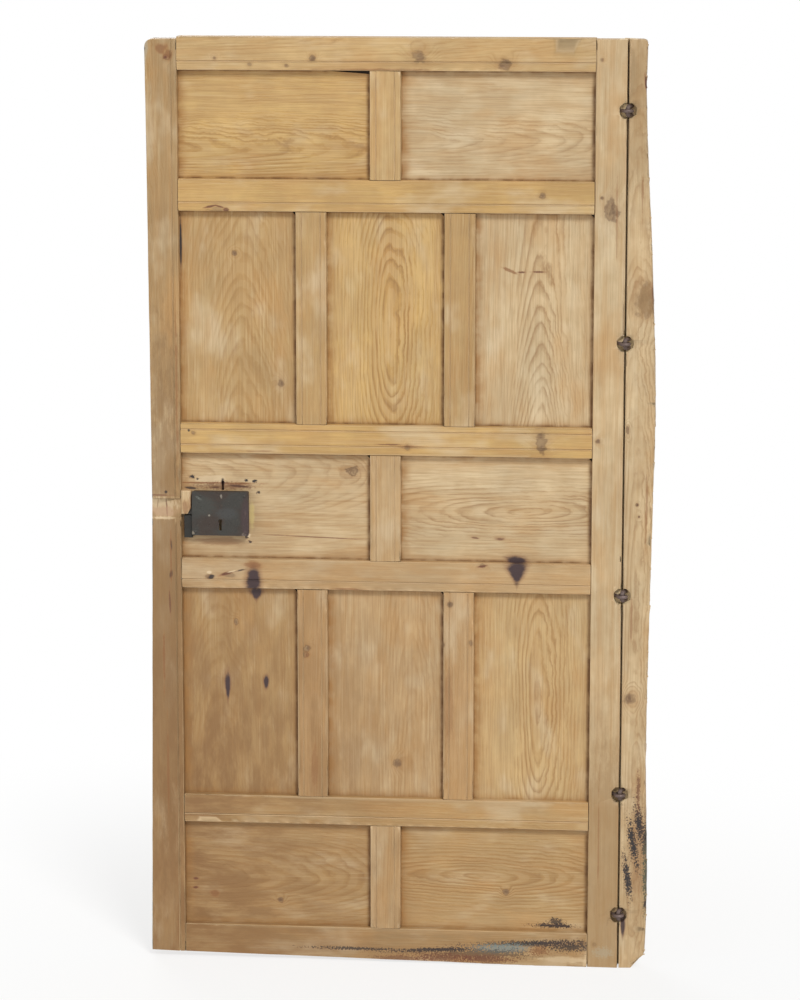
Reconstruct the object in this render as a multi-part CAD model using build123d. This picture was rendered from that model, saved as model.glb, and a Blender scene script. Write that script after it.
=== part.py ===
from build123d import *
import math
import os

# Stripped pine door leaf of twelve flat panels, hung on a narrow hewn post by five
# pairs of interlocked iron eyes, with a nailed-on iron lock. Sizes are in millimetres.
# X runs across the face towards the hinges, Y from the front face backwards, Z upwards.
# On the bench X starts at the foot of the lock stile, Y at the front face and Z at the
# lowest wood. The finished pieces are then moved to the bottom centre of the whole.

# Leaf: lists run from the bottom upwards
leaf_t = 42
field_w = 864
rail_h = [75, 62, 64, 64, 67, 69]
light_h = [226, 450, 225, 445, 224]
panels_in_row = [2, 3, 2, 3, 2]
muntin_w = 65
hinge_stile_w = 64.5
hinge_stile_drop = 2
arris_r = 2

# Lock stile: hollowed by wear on its outer edge beside the lock
lock_stile_foot_w = 74
lock_stile_waist_w = 62
lock_stile_head_w = 67
lock_stile_waist_z = 990
lock_stile_drop = 5
lock_stile_head_r = 16
lock_stile_foot_chip = 16

# Foot of the leaf: trimmed out of square, highest at the lock stile
foot_rise = 13
foot_run = 840

# Joints of the frame
panel_recess = 15
groove_w = 10
groove_d = 10
tenon_t = 14
tenon_l = 42
tenon_shoulder = 12
outer_shoulder = 24
stub_tenon_l = 24
stub_tenon_shoulder = 13
joint_play = 0.2
tenon_end_play = 1.5

# Scratched beads on the face: one rail has a second line below its upper edge
bead_r = 1.1
bead_up = 19
bead_down = 13
twice_beaded_rail = "rail_above_lock"
muntin_bead_r = 0.6
muntin_bead_in = 13
stile_bead_in = 12

# Panels: flat in front, fielded at the back
panel_play = 0.3
tongue_in = 8
panel_t = 16
back_field_in = 26
back_field_taper = 35
chip_depth = 8
chip_leg = 9
chipped_panels = ["row2_left", "row2_middle", "row2_right", "row3_left", "row3_right", "row4_left",
                  "row4_middle"]
sagged_panel = "row1_left"
sag_run = 214
sag_drop = 15.6
shrunk_panel = "row2_left"
shrink_w = 5
shrink_h = 105

# Hanging post: widths of its uneven outer edge at heights above the foot
gap = 3
lap_w = 8
lap_t = 12
lap_play = 0.6
post_t = 44
post_drop = 1
post_edge = [(0, 54), (195, 59), (415, 54), (760, 57), (1060, 62), (1145, 64),
             (1390, 59), (1560, 51.5), (1780, 39.5)]
post_head_w = 39
post_arris_r = 3
post_head_r = 9
post_foot_chip_w = 28
post_foot_chip_h = 30

# Hinges: a loop in the post holds a ring in the leaf, both of roughly forged rod. The
# upper two pairs are measured down from the head, the others up from the foot.
hinge_down = [147, 627]
hinge_up = [811, 382, 118]
axis_proud = 1.5
post_rod_d = 9.5
leaf_rod_d = 7.5
rod_sides = 8
eye_play = 0.3
hole_play = 0.15
leg_gap = 2
loop_bend_r = 5
neck_bend_r = 5.5
clench_bend_r = 6.5
clench_l = 13
clench_play = 0.3
post_leg_angle = 25
leaf_leg_angle = 35
notch_half_w = 17.5
notch_half_h = 16
notch_d = 13
notch_corner = 9
notch_taper = 5

# Lock, placed from the lower left corner of the panel that carries it
lock_panel = "row3_left"
lock_in = 23.5
lock_up = 50
lock_w = 120
lock_h = 94
lock_proud = 4
plate_t = 2.5
plate_corner_r = 3
rim_t = 2
rim_inset = 1
rim_notch_w = 12
rim_notch_h = 4
key_in = 60.2
key_up = 31
key_r = 4
key_slot_w = 5.5
key_slot_l = 20
bolt_w = 22
bolt_t = 6
bolt_back = 2.5
bolt_over_key = 12
bolt_end_in = 2
bolt_tail_in = 6
bolt_throw = 20
bolt_play = 0.3
bolt_lead = 1.5
talon_w = 14
talon_h = 8
talon_r = 2
staple_t = 1.2
staple_w = 7
staple_in = [37, 92]
spring_t = 1.2
spring_foot = 6
spring_foot_side = 20
spring_foot_down = 16
spring_tip_in = 48
spring_sag = 2
ward_r = 13
ward_t = 1.2
ward_d = 6
ward_mouth = 100
nail_d = 3
nail_head_d = 7
nail_head_sides = 6
nail_head_h = 1.6
nail_head_taper = 55
nail_in_panel = 11
nail_point = 4
nail_left_in = 18
nail_right_in = 9
nail_top_down = 10
nail_foot_in = 7.5
nail_foot_up = 7

# Iron lug and wooden block between the lock and the stile
lug_in = 5.5
lug_w = 17.5
lug_h = 48
lug_under_bolt = 2
lug_t = 2
lug_bend_r = 1
lug_front = 5
block_w = 21
block_over_bolt = 1
block_toe_h = 14
block_toe_w = 8
seat_play = 0.3

# Old cuts in the wood beside the lock
channel_up = 34
channel_h = 43
channel_d = 3
slit_in = 84.5
slit_w = 5
slit_h = 20
slit_d = 10

rail_names = ["bottom_rail", "lower_rail", "rail_below_lock", "rail_above_lock", "upper_rail",
              "top_rail"]
column_names = {2: ["left", "right"], 3: ["left", "middle", "right"]}

field_x = lock_stile_foot_w
hinge_stile_x = field_x + field_w
leaf_w = hinge_stile_x + hinge_stile_w
leaf_h = sum(rail_h) + sum(light_h)
post_h = leaf_h - post_drop
hinge_z = [leaf_h - z for z in hinge_down] + hinge_up
axis_x = leaf_w + gap / 2
post_x = leaf_w + gap
rail_z = [sum(rail_h[:i]) + sum(light_h[:i]) for i in range(len(rail_h))]
light_z = [z + h for z, h in zip(rail_z, rail_h)]
tongue_t = groove_w - 2 * panel_play
panel_y = panel_recess + panel_play
lock_x = field_x + lock_in
lock_z = light_z[rail_names.index("rail_below_lock")] + lock_up
plate_y = -lock_proud
case_y = plate_y + plate_t
key_x = lock_x + key_in
key_z = lock_z + key_up
bolt_y1 = panel_recess - bolt_back
bolt_y0 = bolt_y1 - bolt_t
bolt_z = key_z + bolt_over_key
lug_z = bolt_z - lug_under_bolt - lug_h
block_z = bolt_z + block_over_bolt
block_top = lock_z + lock_h
channel_z = lock_z + channel_up
bolt_x0 = lock_stile_foot_w - lock_stile_waist_w + bolt_end_in
bolt_x1 = lock_x + lock_w - bolt_tail_in

FRONT = Plane(origin=(0, 0, 0), x_dir=(1, 0, 0), z_dir=(0, -1, 0))


def block(x0, x1, y0, y1, z0, z1):
    """Straight-sided volume between two corners, used to cut seats and sockets."""
    size = (x1 - x0, y1 - y0, z1 - z0)
    return Pos(x0, y0, z0) * Box(*size, align=(Align.MIN, Align.MIN, Align.MIN))


def slab(outline, y0, y1):
    """Outline drawn on the face, in X and Z, given thickness between two depths."""
    return Pos(0, y1, 0) * extrude(FRONT * outline, y1 - y0)


def soften_front(solid, radius):
    """Round the arrises of the face that is turned to the front."""
    return fillet(solid.faces().sort_by(Axis.Y)[0].edges(), radius)


def groove_bar(x0, x1, z0, z1):
    """Volume ploughed away for the panels' tongues."""
    return block(x0, x1, panel_recess, panel_recess + groove_w, z0, z1)


def upright_bead(x, z0, z1):
    """Scratched line that runs up the face."""
    return Pos(x, 0, (z0 + z1) / 2) * Cylinder(bead_r, z1 - z0)


def shoulders(i):
    """Lower and upper shoulder of the tenons of rail i."""
    low = outer_shoulder if i == 0 else tenon_shoulder
    high = outer_shoulder if i == len(rail_h) - 1 else tenon_shoulder
    return low, high


def tenon(i, length, play, end_play):
    """Tenons of rail i as one bar through both stiles, or their mortises with play."""
    low, high = shoulders(i)
    z0 = rail_z[i] + low - play
    z1 = rail_z[i] + rail_h[i] - high + play
    reach = length + end_play
    y0 = panel_recess - play
    return block(field_x - reach, hinge_stile_x + reach, y0, y0 + tenon_t + 2 * play, z0, z1)


def stub_tenon(x, z0, z1, play, end_play):
    """Stub tenons of a muntin as one upright bar, or their mortises with play."""
    reach = stub_tenon_l + end_play
    x0 = x + stub_tenon_shoulder - play
    x1 = x + muntin_w - stub_tenon_shoulder + play
    y0 = panel_recess - play
    return block(x0, x1, y0, y0 + tenon_t + 2 * play, z0 - reach, z1 + reach)


def foot_cut():
    """Wedge under the leaf's trimmed foot."""
    wedge = Polygon((0, 0), (foot_run, 0), (0, foot_rise), align=None)
    return slab(wedge, 0, leaf_t)


def muntin_xs(row):
    """Left edges of the muntins in a row."""
    n = panels_in_row[row]
    pitch = light_w(row) + muntin_w
    return [field_x + light_w(row) + k * pitch for k in range(n - 1)]


def light_w(row):
    """Visible width of each panel in a row."""
    n = panels_in_row[row]
    return (field_w - (n - 1) * muntin_w) / n


def rail_section(i):
    """Section of rail i in Y and Z, with rounded front arrises, grooves and bead."""
    h = rail_h[i]
    face = Pos(leaf_t / 2, h / 2) * Rectangle(leaf_t, h)
    face = fillet(face.vertices().group_by(Axis.X)[0], arris_r)
    groove_y = panel_recess + groove_w / 2
    groove = Rectangle(groove_w, 2 * groove_d)
    if i > 0:
        face -= Pos(groove_y, 0) * groove
        face -= Pos(0, bead_up) * Circle(bead_r)
    if i < len(rail_h) - 1:
        face -= Pos(groove_y, h) * groove
    if rail_names[i] == twice_beaded_rail:
        face -= Pos(0, h - bead_down) * Circle(bead_r)
    return face


def rail(i):
    """Rail with its through-length section, tenons and mortises for the muntins."""
    solid = Pos(field_x, 0, rail_z[i]) * extrude(Plane.YZ * rail_section(i), field_w)
    solid += tenon(i, tenon_l, 0, 0)
    for row in (i - 1, i):
        if 0 <= row < len(light_h):
            for x in muntin_xs(row):
                z0, z1 = light_z[row], light_z[row] + light_h[row]
                solid -= stub_tenon(x, z0, z1, joint_play, tenon_end_play)
    return solid - foot_cut() if i == 0 else solid


def muntin(row, x):
    """Upright bar between two rails, grooved on both edges."""
    z0, h = light_z[row], light_h[row]
    face = Pos(muntin_w / 2, leaf_t / 2) * Rectangle(muntin_w, leaf_t)
    face = fillet(face.vertices().group_by(Axis.Y)[0], arris_r)
    groove = Rectangle(2 * groove_d, groove_w)
    for edge, inward in ((0, 1), (muntin_w, -1)):
        face -= Pos(edge, panel_recess + groove_w / 2) * groove
        face -= Pos(edge + inward * muntin_bead_in, 0) * Circle(muntin_bead_r)
    solid = Pos(x, 0, z0) * extrude(face, h)
    return solid + stub_tenon(x, z0, z0 + h, 0, 0)


def stile_sockets():
    """Mortises and panel groove that both stiles share."""
    cut = groove_bar(field_x - groove_d, hinge_stile_x + groove_d, rail_z[0] + outer_shoulder,
                     leaf_h - outer_shoulder)
    for i in range(len(rail_h)):
        cut += tenon(i, tenon_l, joint_play, tenon_end_play)
    return cut


def lock_stile():
    """Stile with a hollow outer edge, the bolt's way and an old channel on the face."""
    head = leaf_h - lock_stile_drop
    waist_x = lock_stile_foot_w - lock_stile_waist_w
    head_x = lock_stile_foot_w - lock_stile_head_w
    outline = Polygon((0, 0), (field_x, 0), (field_x, head), (head_x, head),
                      (waist_x, lock_stile_waist_z), align=None)
    corner = outline.vertices().group_by(Axis.Y)[-1].sort_by(Axis.X)[0]
    outline = fillet(corner, lock_stile_head_r)
    solid = soften_front(slab(outline, 0, leaf_t), arris_r)
    chip = Polygon((0, 0), (0, foot_rise + lock_stile_foot_chip),
                   (lock_stile_foot_chip, 0), align=None)
    solid -= slab(chip, 0, leaf_t) + foot_cut()
    solid -= stile_sockets()
    solid -= upright_bead(field_x - stile_bead_in, 0, head)
    solid -= block(0, field_x, 0, channel_d, channel_z, channel_z + channel_h)
    return solid - bolt_way(0, field_x)


def hinge_stile():
    """Stile on the hinge side, rebated behind for the post, with notches for the eyes."""
    outline = Polygon((hinge_stile_x, 0), (leaf_w, 0), (leaf_w, leaf_h - hinge_stile_drop),
                      (hinge_stile_x, leaf_h - hinge_stile_drop), align=None)
    solid = soften_front(slab(outline, 0, leaf_t), arris_r)
    solid -= stile_sockets()
    solid -= block(leaf_w - lap_w, leaf_w, leaf_t - lap_t, leaf_t, 0, leaf_h)
    for z in hinge_z:
        solid -= notch(z)
        solid -= leaf_eye(z, hole_play)
    return solid


def chipped_corner(x1, z1):
    """Broken upper right corner of a panel, a blind pocket."""
    leg = 2 * tongue_in + chip_leg
    chip = Polygon((x1, z1), (x1 - leg, z1), (x1, z1 - leg), align=None)
    return slab(chip, panel_y, panel_y + chip_depth)


def panel_sag(x1, z1):
    """Upper edge that has dropped towards the muntin."""
    sag = Polygon((x1, z1), (x1 - sag_run, z1), (x1, z1 - sag_drop), align=None)
    return slab(sag, panel_y, panel_y + chip_depth)


def panel_shrinkage(x0, z1):
    """Upper left edge that has shrunk away from the stile."""
    lip = tongue_in + shrink_w
    gone = Polygon((x0, z1), (x0 + lip, z1), (x0 + lip, z1 - shrink_h / 2),
                   (x0, z1 - 2 * shrink_h), align=None)
    return slab(gone, panel_y, panel_y + chip_depth)


def panel(row, column, name):
    """Panel with a tongue all round and a raised back field, and the damage of its place."""
    w, h = light_w(row), light_h[row]
    x0 = field_x + column * (w + muntin_w)
    z0 = light_z[row]
    middle = Pos(x0 + w / 2, z0 + h / 2)
    sheet = middle * Rectangle(w + 2 * tongue_in, h + 2 * tongue_in)
    solid = slab(sheet, panel_y, panel_y + tongue_t)
    raised = middle * Rectangle(w - 2 * back_field_in, h - 2 * back_field_in)
    rise = extrude(FRONT * raised, -(panel_t - tongue_t), taper=back_field_taper)
    solid += Pos(0, panel_y + tongue_t, 0) * rise
    right, top = x0 + w + tongue_in, z0 + h + tongue_in
    if name == sagged_panel:
        solid -= panel_sag(right, top)
    if name == shrunk_panel:
        solid -= panel_shrinkage(x0 - tongue_in, top)
    if name in chipped_panels:
        solid -= chipped_corner(right, top)
    if name == lock_panel:
        solid -= nail_holes() + old_slit()
    return solid


def post():
    """Hewn hanging post with an uneven outer edge and a lip that laps behind the leaf."""
    edge = [(post_x + w, z) for z, w in post_edge + [(post_h, post_head_w)]]
    border = Polyline(edge[-1], (post_x, post_h), (post_x, 0), edge[0]) + Spline(*edge)
    outline = make_face(border)
    corner = outline.vertices().group_by(Axis.Y)[-1].sort_by(Axis.X)[-1]
    outline = fillet(corner, post_head_r)
    foot = edge[0][0]
    chip = Polygon((foot - post_foot_chip_w, 0), (foot + post_foot_chip_w, 0),
                   (foot + post_foot_chip_w, 2 * post_foot_chip_h), align=None)
    solid = soften_front(slab(outline - chip, 0, post_t), post_arris_r)
    solid += block(leaf_w - lap_w + lap_play, post_x, leaf_t - lap_t + lap_play, post_t, 0, post_h)
    for z in hinge_z:
        solid -= notch(z)
        solid -= post_eye(z, hole_play)
    return solid


def notch(z):
    """Hollow chopped into both arrises round a pair of eyes, its corners cut off."""
    face = Plane(origin=(axis_x, 0, z), x_dir=(1, 0, 0), z_dir=(0, 1, 0))
    mouth = Rectangle(2 * notch_half_w, 2 * notch_half_h)
    return extrude(face * chamfer(mouth.vertices(), notch_corner), notch_d, taper=notch_taper)


def leg_direction(angle, side):
    """Level direction of an eye's legs, side 1 into the post and -1 into the leaf."""
    turn = math.radians(angle)
    return Vector(side * math.sin(turn), math.cos(turn), 0)


def leg_reach(angle, thickness, rod_d):
    """Distance from the axis to the rod that lies clenched behind the wood."""
    depth = axis_proud + thickness + clench_play + rod_d / 2
    return depth / math.cos(math.radians(angle))


def loop_half_h():
    """Half the distance between the two legs of the post's loop."""
    return leaf_rod_d / 2 + eye_play + loop_bend_r


def post_eye(z, play=0):
    """Rod bent into an upright loop, its legs clenched up and down the post's back.

    With play it is the bore that the rod makes in the wood.
    """
    reach = leg_reach(post_leg_angle, post_t, post_rod_d)
    half = loop_half_h()
    tail = half + clench_bend_r + clench_l
    points = [(reach, tail), (reach, half), (0, half), (0, -half), (reach, -half), (reach, -tail)]
    bends = [clench_bend_r, loop_bend_r, loop_bend_r, clench_bend_r]
    level = leg_direction(post_leg_angle, 1)
    upright = Plane(origin=(axis_x, -axis_proud, z), x_dir=level,
                    z_dir=level.cross(Vector(0, 0, 1)))
    path = upright * FilletPolyline(*points, radius=bends)
    return rod(path, post_rod_d + 2 * play)


def ring_r():
    """Radius of the leaf eye's ring to the middle of its rod."""
    return post_rod_d / 2 + eye_play + leaf_rod_d / 2


def leaf_eye(z, play=0):
    """Rod bent into a level ring, its legs clenched up and down the leaf's back.

    With play it is the bore that the rod makes in the wood.
    """
    reach = leg_reach(leaf_leg_angle, leaf_t, leaf_rod_d)
    ring, off = ring_r(), (leaf_rod_d + leg_gap) / 2
    neck_y = off + neck_bend_r
    neck_x = math.sqrt((ring + neck_bend_r) ** 2 - neck_y ** 2)
    share = ring / (ring + neck_bend_r)
    touch = Vector(neck_x * share, neck_y * share, 0)
    half_turn = (90 - math.degrees(math.atan2(neck_y, neck_x))) / 2
    inner = math.radians(270 - half_turn)
    middle = Vector(neck_x, neck_y, 0) + Vector(math.cos(inner), math.sin(inner), 0) * neck_bend_r
    edges = [ThreePointArc(touch, (-ring, 0, 0), (touch.X, -touch.Y, 0))]
    for side in (1, -1):
        neck = [Vector(p.X, side * p.Y, 0) for p in (touch, middle, Vector(neck_x, off, 0))]
        edges.append(ThreePointArc(*neck))
        edges += leaf_eye_leg(side, off * side, neck_x, reach)
    level = leg_direction(leaf_leg_angle, -1)
    flat = Plane(origin=(axis_x, -axis_proud, z), x_dir=level, z_dir=(0, 0, 1))
    return rod(flat * Wire(edges), leaf_rod_d + 2 * play)


def leaf_eye_leg(side, off, start, reach):
    """Leg of a leaf eye and its clenched end, which turns up or down by side."""
    turn = reach - clench_bend_r
    bend = clench_bend_r * math.sqrt(0.5)
    middle = (turn + bend, off, side * (clench_bend_r - bend))
    return [
        Line((start, off, 0), (turn, off, 0)),
        ThreePointArc((turn, off, 0), middle, (reach, off, side * clench_bend_r)),
        Line((reach, off, side * clench_bend_r), (reach, off, side * (clench_bend_r + clench_l))),
    ]


def rod(path, diameter):
    """Bar hammered to many sides, along a path of straight runs and tangent bends."""
    end = Plane(origin=path @ 0, z_dir=path % 0)
    return sweep(end * RegularPolygon(diameter / 2, rod_sides), path=path)


def keyhole():
    """Round top and slot of the keyhole, cut through the plate."""
    hole = Pos(key_x, key_z) * Circle(key_r)
    hole += Pos(key_x, key_z - key_slot_l / 2) * Rectangle(key_slot_w, key_slot_l)
    return slab(hole, plate_y, case_y)


def nail_spots():
    """Places of the lock's nails on the face, three along the top and two below."""
    left, right = lock_x, lock_x + lock_w
    top, foot = lock_z + lock_h - nail_top_down, lock_z + nail_foot_up
    return [(left + nail_left_in, top), (left + lock_w / 2, top), (right - nail_right_in, top),
            (left + nail_foot_in, foot), (right - nail_foot_in, foot)]


def nail_holes():
    """Holes for the lock's nails through the plate and into the panel."""
    length = panel_y + nail_in_panel + 2 * hole_play - plate_y
    hole = Rectangle(nail_d + 2 * hole_play, nail_d + 2 * hole_play)
    return slab(Sketch() + [Pos(*spot) * hole for spot in nail_spots()], plate_y, plate_y + length)


def old_slit():
    """Old upright slit above the lock."""
    x0, z0 = field_x + slit_in, lock_z + lock_h
    return block(x0, x0 + slit_w, panel_y, panel_y + slit_d, z0, z0 + slit_h)


def bolt_way(x0, x1):
    """Straight way of the bolt with its running play."""
    return block(x0, x1, bolt_y0 - bolt_play, bolt_y1 + bolt_play, bolt_z - bolt_play,
                 bolt_z + bolt_w + bolt_play)


def lock_plate():
    """Front plate with keyhole and nail holes."""
    outline = RectangleRounded(lock_w, lock_h, plate_corner_r)
    outline = Pos(lock_x + lock_w / 2, lock_z + lock_h / 2) * outline
    solid = slab(outline, plate_y, case_y)
    return solid - keyhole() - nail_holes()


def lock_rim():
    """Bent strip that closes the sides of the lock between plate and panel."""
    w, h = lock_w - 2 * rim_inset, lock_h - 2 * rim_inset
    ring = RectangleRounded(w, h, plate_corner_r)
    ring -= RectangleRounded(w - 2 * rim_t, h - 2 * rim_t, plate_corner_r - rim_t)
    ring = Pos(lock_x + lock_w / 2, lock_z + lock_h / 2) * ring
    solid = slab(ring, case_y, panel_recess)
    x0 = key_x - rim_notch_w / 2
    solid -= block(x0, x0 + rim_notch_w, panel_recess - rim_notch_h, panel_recess, lock_z, key_z)
    return solid - bolt_way(lock_x, key_x)


def lock_bolt():
    """Flat bolt with a notch below for the key's bit."""
    bar = Rectangle(bolt_x1 - bolt_x0, bolt_w)
    outline = Pos((bolt_x0 + bolt_x1) / 2, bolt_z + bolt_w / 2) * bar
    notch_x = key_x + bolt_throw / 2
    outline -= Pos(notch_x, bolt_z) * RectangleRounded(talon_w, 2 * talon_h, talon_r)
    solid = slab(outline, bolt_y0, bolt_y1)
    head = solid.edges().filter_by(Axis.Z).group_by(Axis.X)[0]
    return chamfer(head, bolt_lead)


def bolt_staples():
    """Two straps that hold the bolt against the plate."""
    straps = []
    for x in staple_in:
        x0, x1 = lock_x + x, lock_x + x + staple_w
        outer = block(x0, x1, case_y, bolt_y1 + bolt_play + staple_t,
                      bolt_z - bolt_play - staple_t, bolt_z + bolt_w + bolt_play + staple_t)
        inner = block(x0, x1, case_y, bolt_y1 + bolt_play, bolt_z - bolt_play,
                      bolt_z + bolt_w + bolt_play)
        straps.append(outer - inner)
    return Compound(children=straps)


def lock_spring():
    """Bowed leaf spring on a foot, its tip just over the bolt."""
    foot_x, foot_z = lock_x + lock_w - spring_foot_side, lock_z + lock_h - spring_foot_down
    foot = block(foot_x, foot_x + spring_foot, case_y, bolt_y1, foot_z, foot_z + spring_foot)
    tip = (lock_x + spring_tip_in, bolt_z + bolt_w + bolt_play + spring_t / 2)
    root = (foot_x + spring_foot / 2, foot_z + spring_foot / 2)
    middle = ((tip[0] + root[0]) / 2, (tip[1] + root[1]) / 2 - spring_sag)
    strip = trace(ThreePointArc(tip, middle, root), spring_t)
    return foot + slab(strip, bolt_y0, bolt_y1)


def lock_ward():
    """Curved ward round the key's turning circle, open below for the bit."""
    turn = CenterArc((key_x, key_z), ward_r, ward_mouth / 2 - 90, 360 - ward_mouth)
    return slab(trace(turn, ward_t), case_y, case_y + ward_d)


def lock_nails():
    """Forged nails, square with a tapered point and a faceted head, that hold the lock."""
    straight = panel_y + nail_in_panel - nail_point
    shank = Rectangle(nail_d, nail_d)
    nail = slab(shank, plate_y, straight)
    nail += Pos(0, straight, 0) * extrude(FRONT * shank, -nail_point,
                                          taper=math.degrees(math.atan2(nail_d / 3, nail_point)))
    head = RegularPolygon(nail_head_d / 2, nail_head_sides)
    nail += Pos(0, plate_y, 0) * extrude(FRONT * head, nail_head_h, taper=nail_head_taper)
    return Compound(children=[Pos(x, 0, z) * nail for x, z in nail_spots()])


def side_lug():
    """Folded iron lug between the lock and the stile, open towards the panel."""
    x0, y1 = field_x + lug_in, panel_recess
    outer = block(x0, x0 + lug_w, lug_front, y1, lug_z, lug_z + lug_h)
    inner = block(x0 + lug_t, x0 + lug_w - lug_t, lug_front + lug_t, y1, lug_z + lug_t,
                  lug_z + lug_h - lug_t)
    return soften_front(outer, lug_bend_r) - inner


def filler_block():
    """Wooden block let in over the bolt, with a rounded toe."""
    x0 = field_x + seat_play
    x1 = x0 + block_w
    z0 = block_z + seat_play
    outline = Polygon((x0, block_top), (x0, z0), (x1 - block_toe_w, z0),
                      (x1, block_z + block_toe_h), (x1, block_top), align=None)
    solid = soften_front(slab(outline, 0, panel_recess), arris_r)
    return solid - block(x0, x1, bolt_y0 - bolt_play, panel_recess, block_z,
                         bolt_z + bolt_w + bolt_play)


def frame_pieces():
    """Stiles, rails, muntins and panels by node name."""
    pieces = {"lock_stile": lock_stile(), "hinge_stile": hinge_stile()}
    for i, name in enumerate(rail_names):
        pieces[name] = rail(i)
    rows = len(light_h)
    for row, count in enumerate(panels_in_row):
        label = f"row{rows - row}"
        for k, x in enumerate(muntin_xs(row)):
            side = f"_{'left' if k == 0 else 'right'}" if count > 2 else ""
            pieces[f"muntin_{label}{side}"] = muntin(row, x)
        for k, side in enumerate(column_names[count]):
            pieces[f"panel_{label}_{side}"] = panel(row, k, f"{label}_{side}")
    return pieces


def iron_pieces():
    """Hinge eyes and lock pieces by node name."""
    pieces = {}
    for k, z in enumerate(hinge_z, start=1):
        pieces[f"post_eye_{k}"] = post_eye(z)
        pieces[f"leaf_eye_{k}"] = leaf_eye(z)
    pieces["lock_plate"] = lock_plate()
    pieces["lock_rim"] = lock_rim()
    pieces["lock_bolt"] = lock_bolt()
    pieces["bolt_staples"] = bolt_staples()
    pieces["lock_spring"] = lock_spring()
    pieces["lock_ward"] = lock_ward()
    pieces["lock_nails"] = lock_nails()
    pieces["side_lug"] = side_lug()
    return pieces


pieces = {"hanging_post": post(), "filler_block": filler_block()}
pieces.update(frame_pieces())
pieces.update(iron_pieces())

boxes = [piece.bounding_box() for piece in pieces.values()]
low = [min(getattr(b.min, a) for b in boxes) for a in "XYZ"]
high = [max(getattr(b.max, a) for b in boxes) for a in "XYZ"]
origin = Vector((low[0] + high[0]) / 2, (low[1] + high[1]) / 2, low[2])

os.makedirs("parts", exist_ok=True)
for name, piece in pieces.items():
    export_step(Pos(-origin) * piece, f"parts/{name}.step")
print("size", [round(b - a, 2) for a, b in zip(low, high)], "origin on the bench", origin)
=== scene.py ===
import math

import bpy
from mathutils import Matrix, Vector


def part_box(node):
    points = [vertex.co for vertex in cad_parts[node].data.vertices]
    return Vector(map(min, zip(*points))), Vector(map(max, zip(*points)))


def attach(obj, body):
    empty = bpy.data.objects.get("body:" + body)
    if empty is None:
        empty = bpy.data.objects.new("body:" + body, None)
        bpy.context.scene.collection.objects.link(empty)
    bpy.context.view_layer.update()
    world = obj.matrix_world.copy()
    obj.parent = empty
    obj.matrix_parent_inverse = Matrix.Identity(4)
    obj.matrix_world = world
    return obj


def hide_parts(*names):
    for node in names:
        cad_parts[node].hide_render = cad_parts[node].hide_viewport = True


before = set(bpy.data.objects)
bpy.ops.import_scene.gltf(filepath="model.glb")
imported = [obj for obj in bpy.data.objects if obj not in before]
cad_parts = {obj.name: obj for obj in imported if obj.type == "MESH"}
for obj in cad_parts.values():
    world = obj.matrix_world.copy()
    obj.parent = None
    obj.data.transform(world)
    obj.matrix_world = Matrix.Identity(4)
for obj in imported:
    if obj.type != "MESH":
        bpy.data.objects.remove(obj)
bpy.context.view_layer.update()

bl_info = {
    "name": "Stripped pine panel door",
    "version": (1, 0, 0),
    "blender": (4, 5, 0),
    "location": "3D View > Sidebar > Panel door",
    "description": "Dresses an old panel door, its hewn post, eye hinges and nailed-on lock",
    "category": "Object",
}

MM = 0.001

# The photograph's camera, fitted to the door's straight edges: its bench place in
# millimetres, its yaw, pitch and roll in degrees, and its focal length and the
# picture's height in pixels.
CAMERA_PLACE = (1161.7, -7185.3, 2330.5)
CAMERA_TURN = (4.968, 10.384, -0.028)
FOCAL_LENGTH, PHOTO_HEIGHT = 3500, 1000

# The window's light as a sun: strength, spread in degrees and direction. Then the even
# light all round, and area lamps: name, place and size in metres, power in watts.
WINDOW_STRENGTH, WINDOW_SPREAD, WINDOW_DIRECTION = 1.9, 16, (-0.5, 1.0, -1.0)
ROOM_STRENGTH = 0.42
DOOR_MIDDLE = (0, 0, 0.95)
LAMPS = (("side_light", (-3.2, -3.6, 1.6), 2.6, 24), ("back_light", (-2.0, 4.4, 2.2), 2.6, 90))

# Bench places in millimetres: x from the foot of the lock stile, y from the front face
# backwards, z from the lowest wood. HOME turns them into the frame's metres.
TENON = 32 * MM   # the top rail's tenon starts this far in from the foot of the lock stile
HOME = Vector((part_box("top_rail")[0].x - TENON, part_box("top_rail")[0].y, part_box("bottom_rail")[0].z))
HINGE_LINE = HOME.x + 1004 * MM   # the closed line between the leaf and the post

# An arris is fully worn to this depth behind the face, and the wear dies out over the next.
WORN_DEPTH, WORN_FADE = 2 * MM, 4 * MM
# Wave lengths of wandering edges, nicks and adze marks.
WANDER_WAVE, NICK_WAVE = 70 * MM, 14 * MM
POST_WANDER_WAVE, HEWN_WAVE, HEWN_NICK_WAVE = 80 * MM, 34 * MM, 9 * MM
# The post's hewing starts this far from its inner edge and is full after the second length.
HEWN_START, HEWN_FADE = 34 * MM, 8 * MM
# How far growth rings drift to the side along a board, and how far they crinkle.
DRIFT, CRINKLE = 36 * MM, 9 * MM
# Depth of a spot in metres, so great that a place's own depth doesn't count.
ANY_DEPTH = 1000

RAILS = ("bottom_rail", "lower_rail", "rail_below_lock", "rail_above_lock", "upper_rail", "top_rail")
MUNTINS = ("muntin_row1", "muntin_row2_left", "muntin_row2_right", "muntin_row3",
           "muntin_row4_left", "muntin_row4_right", "muntin_row5")
PANELS = ("panel_row1_left", "panel_row1_right", "panel_row2_left", "panel_row2_middle",
          "panel_row2_right", "panel_row3_left", "panel_row3_right", "panel_row4_left",
          "panel_row4_middle", "panel_row4_right", "panel_row5_left", "panel_row5_right")

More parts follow.
